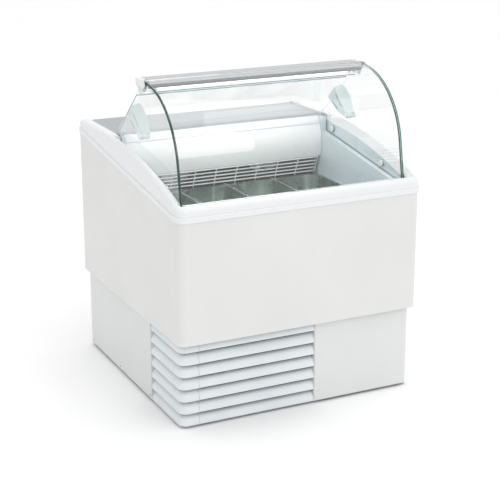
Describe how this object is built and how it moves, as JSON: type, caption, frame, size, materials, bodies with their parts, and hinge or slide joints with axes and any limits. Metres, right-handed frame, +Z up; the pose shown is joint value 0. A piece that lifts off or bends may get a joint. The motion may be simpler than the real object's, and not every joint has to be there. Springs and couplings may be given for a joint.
{
  "type": "ice-cream scooping display freezer",
  "caption": "Insulated open-topped freezer cabinet with scooping pans in a ventilated well, curved glass canopy, tilting rear flap, worktop and louvred machine plinth.",
  "frame": {"origin": "centre of the footprint, on the floor", "axes": "+Z up, -Y towards the customer, +X to the customer's right"},
  "size_m": [0.95, 0.96, 1.163],
  "materials": {
    "white_painted_steel": "satin",
    "white_abs": "gloss",
    "louvre_plastic": "satin",
    "worktop_steel": "satin",
    "pan_steel": "satin",
    "toughened_glass": "polished",
    "clear_acrylic": "polished",
    "anodised_aluminium": "satin",
    "coil_aluminium": "matte",
    "galvanised_steel": "matte",
    "black_enamel": "gloss",
    "black_plastic": "satin",
    "foot_rubber": "matte",
    "copper_tube": "satin",
    "rigid_foam": "matte",
    "silicone": "matte",
    "liner_steel": "satin",
    "lamp_glass": "gloss",
    "key_plastic": "matte"
  },
  "bodies": {
    "cabinet": {"base_frame": "galvanised_steel", "levelling_feet": "foot_rubber", "panel_left_rear": "white_painted_steel", "panel_front_right": "white_painted_steel", "panel_right": "white_painted_steel", "panel_rear": "white_painted_steel", "power_inlet": "black_plastic", "louvre_front_slats": "louvre_plastic", "louvre_side_slats": "louvre_plastic", "louvre_corner_slats": "louvre_plastic", "louvre_brackets": "louvre_plastic", "compressor": "black_enamel", "terminal_cover": "black_plastic", "condenser_coil": "coil_aluminium", "fan_shroud": "galvanised_steel", "condenser_fan_motor": "black_plastic", "drip_tray": "black_plastic", "refrigerant_pipes": "copper_tube", "outer_skin": "white_painted_steel", "rear_skin": "white_painted_steel", "bottom_skin": "galvanised_steel", "foam": "rigid_foam", "inner_liner": "liner_steel", "top_frame": "white_abs", "worktop_panel": "worktop_steel", "worktop_nosing": "white_abs", "evaporator_cover": "white_abs", "air_grille": "white_abs", "evaporator_coil": "coil_aluminium", "evaporator_fan_motors": "black_plastic", "evaporator_fan_plate": "galvanised_steel", "drain_pipe": "black_plastic", "return_duct": "liner_steel", "pan_support_bars": "liner_steel", "side_glass_left": "toughened_glass", "side_glass_right": "toughened_glass", "side_glass_bolts": "white_abs", "canopy_pivot_pins": "white_abs", "flap_pivot_pins": "white_abs", "glass_seat_strip": "silicone", "control_panel": "black_plastic"},
    "canopy": {"front_glass": "toughened_glass", "top_rail": "anodised_aluminium", "rail_end_caps": "white_abs", "lamp_tube": "lamp_glass", "lamp_holders": "white_abs", "lamp_guard": "clear_acrylic"},
    "flap": {"rear_flap": "clear_acrylic", "flap_brackets": "white_abs"},
    "pan_1_body": {"pan_1": "pan_steel"},
    "pan_2_body": {"pan_2": "pan_steel"},
    "pan_3_body": {"pan_3": "pan_steel"},
    "pan_4_body": {"pan_4": "pan_steel"},
    "condenser_fan_body": {"condenser_fan": "coil_aluminium"},
    "evaporator_fan_left_body": {"evaporator_fan_left": "white_abs"},
    "evaporator_fan_right_body": {"evaporator_fan_right": "white_abs"},
    "set_key": {"button_set": "key_plastic"},
    "up_key": {"button_up": "key_plastic"},
    "down_key": {"button_down": "key_plastic"},
    "light_rocker": {"light_switch": "key_plastic"}
  },
  "joints": [
    {"name": "canopy_lift", "type": "hinge", "parent": "cabinet", "child": "canopy", "pos_m": [0, -0.083, 1.128], "axis": [-1, 0, 0], "range_deg": [0, 50]},
    {"name": "flap_tilt", "type": "hinge", "parent": "cabinet", "child": "flap", "pos_m": [0, -0.06, 0.955], "axis": [1, 0, 0], "range_deg": [0, 60]},
    {"name": "pan_1_lift_out", "type": "slide", "parent": "cabinet", "child": "pan_1_body", "axis": [0, -0.342, 0.9397], "range_m": [0, 0.25]},
    {"name": "pan_2_lift_out", "type": "slide", "parent": "cabinet", "child": "pan_2_body", "axis": [0, -0.342, 0.9397], "range_m": [0, 0.25]},
    {"name": "pan_3_lift_out", "type": "slide", "parent": "cabinet", "child": "pan_3_body", "axis": [0, -0.342, 0.9397], "range_m": [0, 0.25]},
    {"name": "pan_4_lift_out", "type": "slide", "parent": "cabinet", "child": "pan_4_body", "axis": [0, -0.342, 0.9397], "range_m": [0, 0.25]},
    {"name": "condenser_fan_spin", "type": "hinge", "parent": "cabinet", "child": "condenser_fan_body", "pos_m": [-0.22, -0.273, 0.156], "axis": [0, 1, 0], "continuous": true},
    {"name": "evaporator_fan_left_spin", "type": "hinge", "parent": "cabinet", "child": "evaporator_fan_left_body", "pos_m": [-0.185, 0.212, 0.765], "axis": [0, 1, 0], "continuous": true},
    {"name": "evaporator_fan_right_spin", "type": "hinge", "parent": "cabinet", "child": "evaporator_fan_right_body", "pos_m": [0.185, 0.212, 0.765], "axis": [0, 1, 0], "continuous": true},
    {"name": "set_key_press", "type": "slide", "parent": "cabinet", "child": "set_key", "axis": [0, -1, 0], "range_m": [0, 0.0015], "stiffness_N_per_m": 400, "springref_m": -0.001},
    {"name": "up_key_press", "type": "slide", "parent": "cabinet", "child": "up_key", "axis": [0, -1, 0], "range_m": [0, 0.0015], "stiffness_N_per_m": 400, "springref_m": -0.001},
    {"name": "down_key_press", "type": "slide", "parent": "cabinet", "child": "down_key", "axis": [0, -1, 0], "range_m": [0, 0.0015], "stiffness_N_per_m": 400, "springref_m": -0.001},
    {"name": "light_rocker_tip", "type": "hinge", "parent": "cabinet", "child": "light_rocker", "pos_m": [-0.302, 0.474, 0.79], "axis": [1, 0, 0], "range_deg": [0, 6]}
  ]
}
